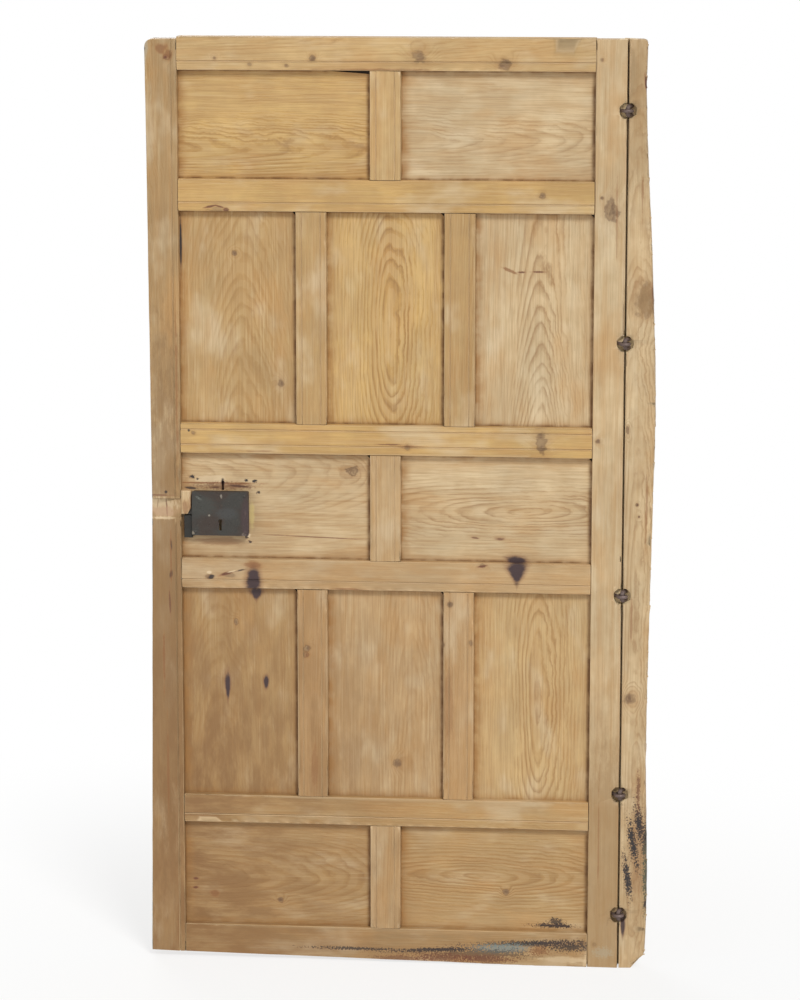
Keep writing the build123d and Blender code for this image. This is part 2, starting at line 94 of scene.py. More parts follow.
# How each board was cut from the tree: direction of the grain, place across the grain of
# the pith line, place along the grain where the rings lie flattest, depth of the pith
# behind the face there, its slope and its bow along the grain, ring spacing, all in mm.
GRAIN = {
    "top_rail": ("x", 1990, 300, 95, 0.03, 0.02, 3.6),
    "upper_rail": ("x", 1500, 600, 130, 0.02, 0.03, 3.4),
    "rail_above_lock": ("x", 1240, 500, 120, 0.04, 0.02, 3.4),
    "rail_below_lock": ("x", 730, 350, 110, 0.03, 0.03, 3.8),
    "lower_rail": ("x", 250, 500, 90, 0.03, 0.02, 3.6),
    "bottom_rail": ("x", 130, 400, 80, 0.03, 0.03, 3.8),
    "lock_stile": ("z", -60, 900, 90, 0.02, 0.01, 3.4),
    "hinge_stile": ("z", 1090, 1500, 110, 0.02, 0.01, 3.6),
    "hanging_post": ("z", 1035, 1100, 60, 0.03, 0.02, 4.2),
    "muntin_row1": ("z", 590, 1800, 90, 0.03, 0.02, 3.4),
    "muntin_row2_left": ("z", 240, 1400, 80, 0.03, 0.02, 3.6),
    "muntin_row2_right": ("z", 720, 1400, 90, 0.03, 0.02, 3.4),
    "muntin_row3": ("z", 420, 1000, 80, 0.03, 0.02, 3.4),
    "muntin_row4_left": ("z", 430, 600, 100, 0.03, 0.02, 3.4),
    "muntin_row4_right": ("z", 570, 600, 90, 0.03, 0.02, 3.4),
    "muntin_row5": ("z", 560, 200, 90, 0.03, 0.02, 3.6),
    "filler_block": ("z", 30, 990, 60, 0.05, 0.02, 3.4),
    "panel_row1_left": ("x", 1742, 60, 30, 0.05, 0.02, 5.2),
    "panel_row1_right": ("x", 1760, 900, 52, 0.14, 0.05, 6.2),
    "panel_row2_left": ("z", 205, 1130, 34, 0.16, 0.05, 6.6),
    "panel_row2_middle": ("z", 521, 1386, 14, 0.02, 0.80, 7.6),
    "panel_row2_right": ("z", 830, 1100, 16, 0.27, -0.22, 6.4),
    "panel_row3_left": ("x", 1046, 60, 26, 0.16, 0.05, 7.2),
    "panel_row3_right": ("x", 986, 900, 16, 0.18, 0.08, 7.0),
    "panel_row4_left": ("z", 150, 260, 46, 0.15, 0.05, 6.4),
    "panel_row4_middle": ("z", 560, 760, 52, 0.12, 0.05, 6.2),
    "panel_row4_right": ("z", 832, 640, 14, 0.05, 0.55, 7.6),
    "panel_row5_left": ("x", 182, 180, 24, 0.12, 0.24, 7.4),
    "panel_row5_right": ("x", 194, 820, 18, 0.18, 0.08, 7.0),
}

# Boards whose figure is narrower than their rings alone would make it, and how many times.
DRAWN_IN = {"panel_row2_right": 1.2, "panel_row4_left": 1.3}

# Noise figures of the wood, drawn out along the grain: repeats per metre across and along
# it, detail, roughness, and a shift that keeps the figures apart.
FIGURES = {
    "pits": (300, 300, 4.0, 0.6, 0.0),           # 3 mm
    "torn fibres": (90, 26, 5.0, 0.7, 0.0),      # 11 by 38 mm
    "lumps": (60, 40, 3.0, 0.6, 2.0),            # 17 by 25 mm, for knots that aren't round
    "fibres": (380, 9, 4.0, 0.6, 0.0),           # under 0.1 mm wide, drawn 2.6 mm wide so that they show
    "streaks": (75, 4, 4.0, 0.65, 0.0),          # 13 by 250 mm
    "clouds": (8, 6, 4.0, 0.6, 0.0),             # 125 by 170 mm
    "blotches": (30, 17, 2.0, 0.55, 5.0),        # 33 by 60 mm
    "honey": (13, 6, 3.0, 0.6, 9.0),             # 77 by 170 mm
    "bleached": (15, 7, 3.0, 0.55, 3.0),         # 67 by 140 mm
    "darkening": (34, 10, 5.0, 0.62, 7.0),        # 30 by 100 mm
}

# Tints that age, wax and light give the wood over the tone of its early wood.
TINTS = {
    "blotch": "A98352", "honey": "BE8C4E", "slow ring": "B98C54", "streak": "AC824C",
    "bleached": "D9C6A4", "early wood": "E2CFA8", "dark fibre": "8A6438", "pale fibre": "E0CDA6",
    # The seam tint is painted shadow under the rails and beside the muntins, and dirt in the other seams.
    "pit": "6A4A2A", "darkened": "86623A", "waxed margin": "A2733C", "seam shade and dirt": "6A461F",
    # The rubbed tint is painted light on the arrises and in the beads; the notch tint after it is painted
    # light in the notches round the hinge eyes.
    "rubbed": "DCC096", "painted notch light": "F0D8AC", "knot halo": "94683A", "knot rim": "553A26",
    "knot dark": "6E5038", "knot pale": "A08460", "knot heart": "4E3626",
}

# How each board has aged: the tone of its early wood and how clearly its rings show.
AGE = {
    "top_rail": ("honey", 0.30), "upper_rail": ("gold", 0.28), "rail_above_lock": ("gold", 0.30),
    "rail_below_lock": ("sand", 0.30), "lower_rail": ("tan", 0.30), "bottom_rail": ("dun", 0.28),
    "lock_stile": ("dun", 0.32), "hinge_stile": ("straw", 0.30), "hanging_post": ("straw", 0.42),
    "muntin_row1": ("honey", 0.25), "muntin_row2_left": ("tan", 0.22),
    "muntin_row2_right": ("tan", 0.22), "muntin_row3": ("sand", 0.25),
    "muntin_row4_left": ("amber", 0.28), "muntin_row4_right": ("amber", 0.28),
    "muntin_row5": ("sand", 0.28), "filler_block": ("straw", 0.30), "panel_row1_left": ("gold", 0.48),
    "panel_row1_right": ("straw", 0.34), "panel_row2_left": ("tan", 0.30),
    "panel_row2_middle": ("gold", 0.60), "panel_row2_right": ("straw", 0.60),
    "panel_row3_left": ("straw", 0.38), "panel_row3_right": ("straw", 0.55),
    "panel_row4_left": ("tan", 0.28), "panel_row4_middle": ("sand", 0.22),
    "panel_row4_right": ("honey", 0.55), "panel_row5_left": ("tan", 0.50),
    "panel_row5_right": ("tan", 0.48),
}

# Knots, each at x, z with its half width and half height and how dark it is, 0 to 1.
KNOTS = {
    "lock_stile": ((52, 1928, 6, 5, 0.7),),
    "top_rail": (
        (357, 1928, 6, 6, 0.5), (576, 1931, 15, 13, 0.45), (752, 1916, 13, 10, 0.6),
        (153, 1927, 5, 4, 0.4), (225, 1915, 5, 4, 0.4), (302, 1913, 5, 4, 0.4)),
    "upper_rail": ((832, 1649, 8, 7, 0.5), (152, 1616, 18, 6, 0.25)),
    "rail_above_lock": ((832, 1130, 13, 24, 0.6), (552, 1122, 6, 6, 0.45), (101, 1145, 5, 5, 0.4)),
    "rail_below_lock": ((172, 842, 18, 6, 0.45), (712, 871, 8, 5, 0.5), (132, 837, 5, 4, 0.5)),
    "hinge_stile": (
        (974, 1619, 15, 23, 0.6), (953, 1646, 4, 4, 0.5), (950, 1927, 4, 4, 0.3),
        (950, 1140, 5, 6, 0.5), (953, 52, 5, 5, 0.6)),
    "hanging_post": (
        (1048, 1432, 22, 34, 0.45), (1023, 591, 12, 13, 0.5), (1033, 1006, 3, 3, 0.8),
        (1037, 981, 3, 3, 0.8), (1011, 1162, 3, 9, 0.7)),
    "muntin_row4_left": ((340, 687, 6, 8, 0.6), (338, 672, 6, 6, 0.55)),
    "muntin_row4_right": ((643, 786, 5, 6, 0.5), (687, 705, 5, 6, 0.5), (628, 699, 4, 5, 0.4)),
    "panel_row2_left": ((189, 1523, 6, 6, 0.5), (286, 1251, 7, 8, 0.55)),
    "panel_row3_left": ((437, 1064, 13, 11, 0.75),),
    "panel_row4_left": ((187, 737, 6, 8, 0.45),),
    "panel_row4_middle": ((530, 437, 8, 10, 0.4),),
    "panel_row5_left": ((279, 127, 6, 6, 0.45),),
    "panel_row5_right": ((764, 158, 6, 6, 0.5),),
}

# Colours of stains, scrapes and damp, some also used for painted shadows and lights: the middle and the
# fringe.
STAINS = {
    "char": ("2B2422", "6A4A32"), "burn": ("3C2A2A", "7A5038"), "dust": ("94744A", "A2825A"),
    "umber": ("7C5C37", "8E6C44"), "rust": ("7C4C28", "A06E3C"), "rot": ("5E3424", "8A5430"),
    "bloom": ("7E8A86", "8C8A7A"), "bare": ("DCC6A2", "D2B488"), "grey": ("A89E88", "B2A284"),
    "green": ("4C4C3A", "847A58"), "rose": ("B08A6C", "B8956E"), "straw": ("D6BF7C", "D2B880"),
}

# Stains, and a few painted shadows and lights beside the lock, each at x, z with half width,
# half height, strength, raggedness, lean in degrees, how much it widens upwards, and its colour.
MARKS = {
    "lock_stile": (
        (36, 740, 60, 640, 0.42, 0.8, 0, 0, "umber"), (42, 1946, 13, 10, 0.55, 0.9, 0, 0.3, "rust"),
        (57, 1932, 10, 12, 0.6, 0.9, 0, 0.3, "rust"), (52, 1928, 4, 4, 0.8, 0.8, 0, 0, "rot"),
        (7, 1950, 10, 34, 0.55, 0.9, 0, 0, "grey"), (1, 1930, 3, 60, 0.5, 0.8, 0, 0, "green"),
        (2, 1045, 5, 70, 0.75, 0.9, 0, 0, "green"), (36, 988, 40, 22, 0.45, 1.3, 0, 0, "bare"),
        (43, 985, 1.6, 20, 0.6, 1.1, 3, 0, "rot"), (24, 992, 1.6, 12, 0.35, 0.9, -8, 0, "rot"),
        # The rot-coloured line at z 1011 is painted shadow under the channel's upper lip, and the
        # bare-coloured line at z 962 painted light on its lit lower ledge.
        (36, 976, 40, 10, 0.5, 1.2, 0, 0, "rose"), (30, 1011, 30, 2.2, 0.5, 1.2, 0, 0, "rot"),
        (36, 962, 34, 2.4, 0.6, 1.0, 0, 0, "bare"), (42, 1018, 4, 4, 0.95, 0.5, 0, 0, "char"),
        (52, 904, 2.6, 13, 0.8, 0.9, 4, 0, "char"), (51, 842, 3.4, 9, 0.95, 0.8, -10, 0, "char"),
        (48, 785, 2, 34, 0.6, 1.1, 2, 0, "rot"), (51, 870, 2, 70, 0.5, 1.0, 0, 0, "rust"),
        (34, 655, 2.4, 60, 0.5, 1.2, 0, 0, "rust"), (67, 1240, 2.4, 160, 0.4, 1.2, 0, 0, "rust"),
        (40, 420, 2.4, 110, 0.4, 1.2, 0, 0, "rust")),
    "top_rail": ((480, 1905, 120, 2.2, 0.4, 1.2, 0, 0, "rust"),),
    "upper_rail": ((142, 1621, 14, 2.4, 0.8, 0.9, 12, 0, "rot"),
                   (162, 1621, 10, 2.2, 0.8, 0.9, -14, 0, "rot"),
                   (175, 1614, 6, 5, 0.7, 1.0, 0, 0, "rot")),
    "rail_above_lock": (
        (520, 1126, 30, 2, 0.6, 1.2, 0, 0, "rot"), (240, 1108, 44, 2, 0.4, 1.2, 0, 0, "rust"),
        (560, 1122, 26, 4, 0.4, 1.0, 0, 0, "rust"), (92, 1150, 3, 3, 0.9, 0.6, 0, 0, "char")),
    "rail_below_lock": (
        (226, 832, 19, 36, 1.0, 0.3, 0, -0.1, "burn"), (224, 864, 20, 9, 0.5, 0.8, 0, 0, "rust"),
        (783, 858, 25, 31, 1.0, 0.34, 0, 0.6, "burn"), (170, 845, 15, 3.4, 0.9, 0.9, 16, 0, "rot"),
        (201, 853, 15, 2.6, 0.95, 0.9, 12, 0, "char"), (137, 838, 6, 5, 0.9, 1.1, 0, 0, "char"),
        (132, 847, 6, 4, 0.7, 0.8, 0, 0, "bare"), (182, 850, 12, 1.6, 0.7, 0.8, 14, 0, "bare"),
        (420, 816, 44, 2, 0.5, 1.2, 0, 0, "rust"), (712, 871, 10, 2.5, 0.7, 1.0, 10, 0, "rot")),
    "bottom_rail": (
        (822, 49, 128, 7, 1.0, 1.7, 3, 0, "char"), (620, 30, 104, 5, 1.0, 1.7, 3, 0, "char"),
        (440, 28, 90, 3.6, 0.8, 1.8, 0, 0, "char"), (757, 36, 62, 10, 0.8, 1.6, 2, 0, "bloom"),
        (700, 22, 120, 12, 0.55, 1.7, 2, 0, "char"), (634, 12, 60, 10, 0.55, 1.5, 0, 0, "rot"),
        (540, 9, 60, 7, 0.5, 1.5, 0, 0, "rot"), (836, 34, 20, 10, 0.6, 1.5, 0, 0, "rust"),
        (720, 12, 60, 9, 0.6, 1.5, 0, 0, "rot"), (905, 44, 52, 10, 0.8, 1.9, 0, 0, "char"),
        (900, 14, 60, 8, 0.4, 1.2, 0, 0, "bare")),
    "hanging_post": (
        (1025, 1830, 50, 190, 0.35, 0.6, 0, 0, "dust"), (1046, 250, 30, 260, 0.3, 0.8, 0, 0, "dust"),
        (1048, 240, 20, 110, 0.25, 1.0, 0, 0, "rust"), (1064, 500, 5, 160, 0.5, 1.2, 0, 0, "rust"),
        (1040, 1880, 2.6, 20, 0.9, 0.8, 6, 0, "rot"), (1047, 1812, 5, 5, 0.9, 0.8, 0, 0, "char"),
        (1033, 275, 8, 50, 1.0, 1.9, 10, 0, "char"), (1022, 200, 7, 46, 1.0, 1.9, 8, 0, "char"),
        (1046, 318, 8, 44, 1.0, 1.9, 8, 0, "char"), (1060, 280, 8, 50, 1.0, 1.8, 0, 0, "char"),
        (1063, 200, 8, 70, 0.95, 1.8, 0, 0, "green"), (1062, 142, 5, 10, 0.95, 0.9, 0, 0, "char"),
        (1043, 390, 4, 40, 0.6, 1.6, 0, 0, "rot"), (1014, 96, 6.5, 28, 0.95, 0.4, 0, 0.3, "burn"),
        (1036, 1640, 2, 40, 0.4, 1.2, 0, 0, "rust"), (1052, 1000, 3, 80, 0.4, 1.3, 0, 0, "rust"),
        (1046, 1920, 5, 60, 0.4, 1.0, 0, 0, "rust"), (1024, 760, 2.4, 60, 0.4, 1.3, 0, 0, "rust"),
        (1062, 1448, 9, 30, 0.75, 1.1, 0, 0, "rot"), (1046, 1436, 26, 38, 0.5, 1.3, 0, 0, "dust")),
    "hinge_stile": (
        (970, 190, 70, 380, 0.55, 0.4, 0, 0, "dust"), (972, 34, 22, 12, 0.4, 1.4, 0, 0, "grey"),
        (960, 300, 2, 120, 0.3, 1.2, 0, 0, "rust"), (984, 1600, 2, 90, 0.3, 1.0, 0, 0, "rust")),
    "panel_row2_left": ((77, 1540, 2.6, 60, 1.0, 0.4, 0, 0, "char"),),
    "panel_row2_right": ((764, 1492, 20, 3, 0.6, 0.9, -22, 0, "rust"),
                         (787, 1489, 9, 2.4, 0.8, 0.8, 0, 0, "rot"),
                         (824, 1490, 16, 2.2, 0.7, 0.8, 0, 0, "rot")),
    "panel_row3_left": (
        (128, 1045, 46, 14, 0.5, 1.3, 0, 0, "bare"), (110, 1036, 44, 2.4, 0.7, 1.2, 0, 0, "rust"),
        (205, 1036, 40, 2.2, 0.7, 1.2, 0, 0, "rust"), (93, 1025, 14, 2.6, 0.85, 0.9, -3, 0, "char"),
        (146, 1027, 14, 2.4, 0.85, 0.9, 0, 0, "char"), (196, 1030, 22, 2.4, 0.85, 0.9, -4, 0, "char"),
        (95, 1049, 6, 4, 1.0, 1.4, 0, 0, "char"), (107, 1044, 3, 2.6, 0.9, 1.4, 0, 0, "char"),
        (161, 1038, 3.6, 8, 1.0, 0.7, 0, 0, "char"), (165, 1030, 60, 8, 0.45, 1.4, 0, 0, "rot"),
        (211, 1043, 4, 3.4, 1.0, 1.4, 0, 0, "char"), (229, 1041, 5, 3.4, 1.0, 1.4, 0, 0, "char"),
        (236, 1017, 4, 3, 0.9, 1.4, 0, 0, "char"), (222, 972, 6, 34, 0.6, 0.8, 0, 0, "straw"),
        (214, 925, 6, 5, 0.8, 1.0, 0, 0, "bare"), (211, 921, 3, 4, 0.9, 1.4, 0, 0, "char"),
        # The wide rust-coloured band at z 911 is painted shadow cast by the lock plate.
        (218, 911, 5, 3.4, 1.0, 1.4, 0, 0, "char"), (150, 911, 64, 10, 0.4, 0.8, 0, 0, "rust"),
        (348, 924, 120, 1.4, 0.6, 0.7, -2, 0, "rot")),
    "panel_row3_right": ((783, 880, 26, 12, 1.0, 0.55, 0, 0.3, "burn"),
                         (746, 926, 12, 3, 0.7, 0.8, 0, 0, "rot"),
                         (694, 928, 10, 2.4, 0.6, 0.8, -8, 0, "rot")),
    "panel_row4_left": ((168, 599, 7.5, 35, 1.0, 0.4, 0, 0.35, "burn"),
                        (250, 608, 7, 17, 1.0, 0.4, 0, 0.1, "burn"),
                        (231, 799, 17, 17, 1.0, 0.5, 0, 0.6, "burn")),
    "panel_row5_left": ((95, 171, 7, 3, 0.8, 0.8, 0, 0, "rot"), (95, 151, 6, 3, 0.8, 0.8, 0, 0, "rot"),
                        (136, 139, 9, 8, 0.5, 1.0, 0, 0, "rust")),
    "panel_row5_right": ((868, 86, 44, 5, 1.0, 1.5, 0, 0, "char"),
                         (870, 95, 22, 9, 0.8, 1.6, 0, -0.4, "char")),
    # The rot-coloured strip at the block's right side is painted shade beside the lock plate.
    "filler_block": ((100, 996, 7, 28, 0.9, 0.7, 0, 0, "rot"),
                     (84, 985, 8, 16, 0.5, 1.2, 0, 0, "rust")),
    "muntin_row4_left": ((356, 430, 8, 50, 0.3, 0.8, 0, 0, "rust"),
                         (341, 672, 7, 8, 0.5, 1.0, 0, 0, "rust")),
    "muntin_row4_right": ((640, 560, 14, 90, 0.25, 0.8, 0, 0, "rust"),),
}

# Spots of the lock plate: x, z, half width, half height, lean, colour. Four are painted
# highlights, the glint on the rivet and the glints at the plate's top and at its bottom corners;
# the rest are rubbed, scraped and stained.
PLATE_MARKS_AND_GLINTS = (
    (113, 1006, 9, 3, -30, "7E817A"), (134, 970, 2.6, 2.6, 0, "A9A294"),
    (160, 1011, 2.4, 5, 0, "8C8478"), (99, 932, 4, 4, 0, "8A8070"), (208, 930, 5, 6, -20, "97897A"),
    (211, 976, 2.4, 6, 0, "7E6C62"), (211, 960, 10, 50, 0, "4A3C3C"), (120, 990, 34, 24, 0, "44443F"),
    (172, 974, 26, 14, 0, "484846"),
)


class DoorSizes(bpy.types.PropertyGroup):
    """Sizes of wear and tool marks that the boards take."""
    edge_wear: bpy.props.FloatProperty(
        name="Edge wear", description="How far the boards' arrises are worn back",
        default=1.1 * MM, subtype="DISTANCE", unit="LENGTH")
    hewn_depth: bpy.props.FloatProperty(
        name="Hewn depth", description="Depth of the adze marks on the post's outer edge",
        default=3.2 * MM, subtype="DISTANCE", unit="LENGTH")
    slice_length: bpy.props.FloatProperty(
        name="Slice length", description="Distance between the cuts that let a board's edge wander",
        default=22 * MM, subtype="DISTANCE", unit="LENGTH")
    pit_size: bpy.props.FloatProperty(
        name="Rust pit", description="Width of the pits in the iron",
        default=2.5 * MM, subtype="DISTANCE", unit="LENGTH")


class DoorColours(bpy.types.PropertyGroup):
    """Colours of the finishes, as sRGB hex values."""
    straw: bpy.props.StringProperty(name="Straw", description="Palest early wood", default="CFB68E")
    honey: bpy.props.StringProperty(name="Honey", description="Warm early wood", default="CAA974")
    sand: bpy.props.StringProperty(name="Sand", description="Duller early wood", default="C2A378")
    amber: bpy.props.StringProperty(name="Amber", description="Reddish early wood", default="B89264")
    dun: bpy.props.StringProperty(name="Dun", description="Dirty brown early wood", default="9A7B50")
    gold: bpy.props.StringProperty(name="Gold", description="Most golden early wood", default="C8A262")
    tan: bpy.props.StringProperty(name="Tan", description="Browned early wood", default="B4925F")
    late_wood: bpy.props.StringProperty(
        name="Late wood", description="Dark part of each ring", default="8A6236")
    # Painted shade: this colour, darkened further, is painted as shade in the panels' grooves and chipped
    # corners.
    recess_shade: bpy.props.StringProperty(
        name="Recess shade", description="Painted shade in recesses", default="5A3C1E")
    iron: bpy.props.StringProperty(name="Iron", description="Forged iron under its rust", default="4A4843")
    hinge_iron: bpy.props.StringProperty(name="Hinge iron", description="Iron of the eyes", default="665855")
    rust: bpy.props.StringProperty(name="Rust", description="Brown rust on the iron", default="4E4038")
    rubbed_iron: bpy.props.StringProperty(
        name="Rubbed iron", description="High spots rubbed bare", default="7A6E60")
    pitted_iron: bpy.props.StringProperty(
        name="Pitted iron", description="Dark floor of the pits", default="1E1A16")


def linear(hex_colour, shade=1.0):
    """sRGB hex value as a linear colour, multiplied by a shade."""
    parts = [int(hex_colour[i:i + 2], 16) / 255 for i in (0, 2, 4)]
    flat = [c / 12.92 if c <= 0.04045 else ((c + 0.055) / 1.055) ** 2.4 for c in parts]
    return (*[min(1.0, c * shade) for c in flat], 1.0)


def at(x, y, z):
    """Bench place in millimetres as a place in the frame."""
    return HOME + Vector((x, y, z)) * MM


def add(tree, kind, links=None, **settings):
    """Add one node with its settings, and link or set its inputs by name or number."""
    node = tree.nodes.new(kind)
    for name, value in settings.items():
        setattr(node, name, value)
    for key, value in (links or {}).items():
        socket = node.inputs[key]
        if isinstance(value, bpy.types.NodeSocket):
            tree.links.new(value, socket)
        else:
            socket.default_value = value
    return node


def start_material(name):
    """Empty node material and its tree."""
    material = bpy.data.materials.new(name)
    material.use_nodes = True
    material.node_tree.nodes.clear()
    return material, material.node_tree


def finish_material(tree, colour, height, depth, roughness, metallic=0.0):
    """Shader of a surface with a colour, a height for its relief and its roughness."""
    bump = add(tree, "ShaderNodeBump", {"Height": height, "Distance": depth, "Strength": 0.8})
    shader = add(tree, "ShaderNodeBsdfPrincipled", {"Base Color": colour, "Roughness": roughness,
                                                    "Metallic": metallic, "Normal": bump.outputs[0]})
    add(tree, "ShaderNodeOutputMaterial", {"Surface": shader.outputs[0]})


def grown_rings(tree, point, grain, bends, drawn_in):
    """Growth rings of a board: late wood from 0 to 1, and a slow value that follows the rings.

    Late wood is where a ring is darkest. The rings are circles round a pith line that runs
    behind the face, so a sloping or bowed line gives the pointed and oval figures of a
    flat-sawn board. They bend out round knots, can be drawn in to a narrow point, are
    clearest over the pith line and worn away in patches.
    """
    direction, across, along, depth, slope, bow, spacing = grain
    vertical = direction == "z"
    apart = add(tree, "ShaderNodeSeparateXYZ", {0: point})
    side, length = apart.outputs["X"], apart.outputs["Z"]
    if not vertical:
        side, length = length, side
    middle = at(across, 0, across)
    start = at(along, 0, along)
    home_across, home_along = (middle.x, start.z) if vertical else (middle.z, start.x)
    drift = add(tree, "ShaderNodeMapping", {
        0: point, "Scale": (11, 11, 2.6) if vertical else (2.6, 11, 11)})
    wander = add(tree, "ShaderNodeTexNoise", {"Vector": drift.outputs[0], "Scale": 1.0, "Detail": 2.0})
    crinkle_place = add(tree, "ShaderNodeMapping", {
        0: point, "Scale": (48, 48, 26) if vertical else (26, 48, 48)})
    crinkle = add(tree, "ShaderNodeTexNoise", {
        "Vector": crinkle_place.outputs[0], "Scale": 1.0, "Detail": 3.0, "Roughness": 0.6})
    slow = add(tree, "ShaderNodeMath", {0: wander.outputs["Fac"], 1: DRIFT, 2: -DRIFT / 2},
               operation="MULTIPLY_ADD")
    shift = add(tree, "ShaderNodeMath", {0: crinkle.outputs["Fac"], 1: CRINKLE, 2: slow.outputs[0]},
                operation="MULTIPLY_ADD")
    off = add(tree, "ShaderNodeMath", {0: side, 1: -home_across - CRINKLE / 2}, operation="ADD")
    off = add(tree, "ShaderNodeMath", {0: off.outputs[0], 1: shift.outputs[0]}, operation="ADD")
    off = add(tree, "ShaderNodeMath", {0: off.outputs[0], 1: drawn_in}, operation="MULTIPLY")
    run = add(tree, "ShaderNodeMath", {0: length, 1: -home_along}, operation="ADD")
    bowed = add(tree, "ShaderNodeMath", {0: run.outputs[0], 1: bow, 2: slope}, operation="MULTIPLY_ADD")
    deep = add(tree, "ShaderNodeMath", {0: run.outputs[0], 1: bowed.outputs[0], 2: depth * MM},
               operation="MULTIPLY_ADD")
    deep = add(tree, "ShaderNodeMath", {0: shift.outputs[0], 1: 0.8, 2: deep.outputs[0]},
               operation="MULTIPLY_ADD")
    deep = add(tree, "ShaderNodeMath", {0: deep.outputs[0], 1: apart.outputs["Y"]}, operation="ADD")
    flat = add(tree, "ShaderNodeCombineXYZ", {0: off.outputs[0], 1: deep.outputs[0]})
    radius = add(tree, "ShaderNodeVectorMath", {0: flat.outputs[0]}, operation="LENGTH")
    bent = add(tree, "ShaderNodeMath", {0: radius.outputs["Value"], 1: bends}, operation="ADD")
    count = add(tree, "ShaderNodeMath", {0: bent.outputs[0], 1: 1 / (spacing * MM)}, operation="MULTIPLY")
    uneven = add(tree, "ShaderNodeTexNoise", {"W": count.outputs[0], "Scale": 0.31, "Detail": 1.5},
                 noise_dimensions="1D")
    count = add(tree, "ShaderNodeMath", {0: uneven.outputs["Fac"], 1: 1.5, 2: count.outputs[0]},
                operation="MULTIPLY_ADD")
    ring = add(tree, "ShaderNodeMath", {0: count.outputs[0]}, operation="FRACT")
    late = add(tree, "ShaderNodeValToRGB", {0: ring.outputs[0]})
    stops = late.color_ramp
    stops.elements[0].position, stops.elements[0].color = 0.0, (0.30, 0.30, 0.30, 1)
    stops.elements[1].position, stops.elements[1].color = 1.0, (0.45, 0.45, 0.45, 1)
    for place, grey in ((0.12, 0.0), (0.55, 0.06), (0.8, 0.6), (0.91, 1.0)):
        stops.elements.new(place).color = (grey, grey, grey, 1)
    near = add(tree, "ShaderNodeMath", {0: off.outputs[0]}, operation="ABSOLUTE")
    clear = faded(tree, near.outputs[0], 26 * MM, 84 * MM, 1.0, 0.16)
    patch_place = add(tree, "ShaderNodeMapping", {
        0: point, "Scale": (16, 16, 9) if vertical else (9, 16, 16)})
    patch = add(tree, "ShaderNodeTexNoise", {
        "Vector": patch_place.outputs[0], "Scale": 1.0, "Detail": 4.0, "Roughness": 0.65})
    worn = faded(tree, patch.outputs["Fac"], 0.38, 0.56, 0.12, 1.0)
    shown = add(tree, "ShaderNodeMath", {0: clear, 1: worn}, operation="MULTIPLY")
    return add(tree, "ShaderNodeMath", {0: late.outputs[0], 1: shown.outputs[0]},
               operation="MULTIPLY").outputs[0], uneven.outputs["Fac"]


def spot_distance(tree, point, x, z, half_w, half_h, lean=0, widening=0):
    """Distance from a spot's centre, 1 at its edge. It may lean, or widen upwards."""
    local = add(tree, "ShaderNodeMapping", {
        0: point, "Location": at(x, 0, z), "Rotation": (0, math.radians(-lean), 0),
        "Scale": (half_w * MM, ANY_DEPTH, half_h * MM)}, vector_type="TEXTURE").outputs[0]
    if widening:
        apart = add(tree, "ShaderNodeSeparateXYZ", {0: local})
        width = add(tree, "ShaderNodeMath", {0: apart.outputs["Z"], 1: widening, 2: 1 - abs(widening) * 0.4},
                    operation="MULTIPLY_ADD")
        width = add(tree, "ShaderNodeMath", {0: width.outputs[0], 1: 0.08}, operation="MAXIMUM")
        across = add(tree, "ShaderNodeMath", {0: apart.outputs["X"], 1: width.outputs[0]}, operation="DIVIDE")
        local = add(tree, "ShaderNodeCombineXYZ", {0: across.outputs[0], 2: apart.outputs["Z"]}).outputs[0]
    return add(tree, "ShaderNodeVectorMath", {0: local}, operation="LENGTH").outputs["Value"]


def faded(tree, value, start, end, low, high):
    """Value turned smoothly from one level at start to another at end."""
    ramp = add(tree, "ShaderNodeMapRange", {0: value, 1: start, 2: end, 3: low, 4: high},
               interpolation_type="SMOOTHSTEP")
    return ramp.outputs[0]


def mixed(tree, share, first, second, blend="MIX"):
    """Mix of two colours by a share."""
    node = add(tree, "ShaderNodeMix", data_type="RGBA", blend_type=blend)
    for socket, value in ((node.inputs[0], share), (node.inputs[6], first), (node.inputs[7], second)):
        if isinstance(value, bpy.types.NodeSocket):
            tree.links.new(value, socket)
        else:
            socket.default_value = value
    return node.outputs[2]


def margins(tree, point, node):
    """Darkening at a panel's four edges: a narrow dark seam and a wide soft margin.

    The seam is painted shadow at the top, under the rail, and at the right, beside the muntin or
    stile, and dirt at the left and at the foot; the margin is old wax and dirt. Each edge has its
    place, how far in the darkening reaches in mm, and how dark it is.
    """
    low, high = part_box(node)
    tongue = 8 * MM
    foot = 0.2 if "row4" in node or "row5" in node else 0.95
    apart = add(tree, "ShaderNodeSeparateXYZ", {0: point})
    x, z = apart.outputs["X"], apart.outputs["Z"]
    rough = add(tree, "ShaderNodeTexNoise", {"Vector": point, "Scale": 34.0, "Detail": 4.0})
    strength = faded(tree, rough.outputs["Fac"], 0.34, 0.66, 0.30, 1.0)
    shades = []
    # Seams: dirt at the left edge and at the foot, painted shadow at the right edge beside the muntin or
    # stile and at the top under the rail.
    seam = ((x, low.x + tongue, 4, 0.6), (x, high.x - tongue, -11, 1.0),
            (z, low.z + tongue, 7, foot), (z, high.z - tongue, -5, 0.9))
    margin = ((x, low.x + tongue, 26, 0.8), (x, high.x - tongue, -16, 0.45),
              (z, low.z + tongue, 16, 0.4), (z, high.z - tongue, -22, 0.5))
    for edges in (seam, margin):
        total = None
        for value, edge, reach, dark in edges:
            shade = faded(tree, value, edge, edge + reach * MM, dark, 0.0)
            total = shade if total is None else add(tree, "ShaderNodeMath", {0: total, 1: shade},
                                                    operation="MAXIMUM").outputs[0]
        shades.append(add(tree, "ShaderNodeMath", {0: total, 1: strength}, operation="MULTIPLY").outputs[0])
    return shades


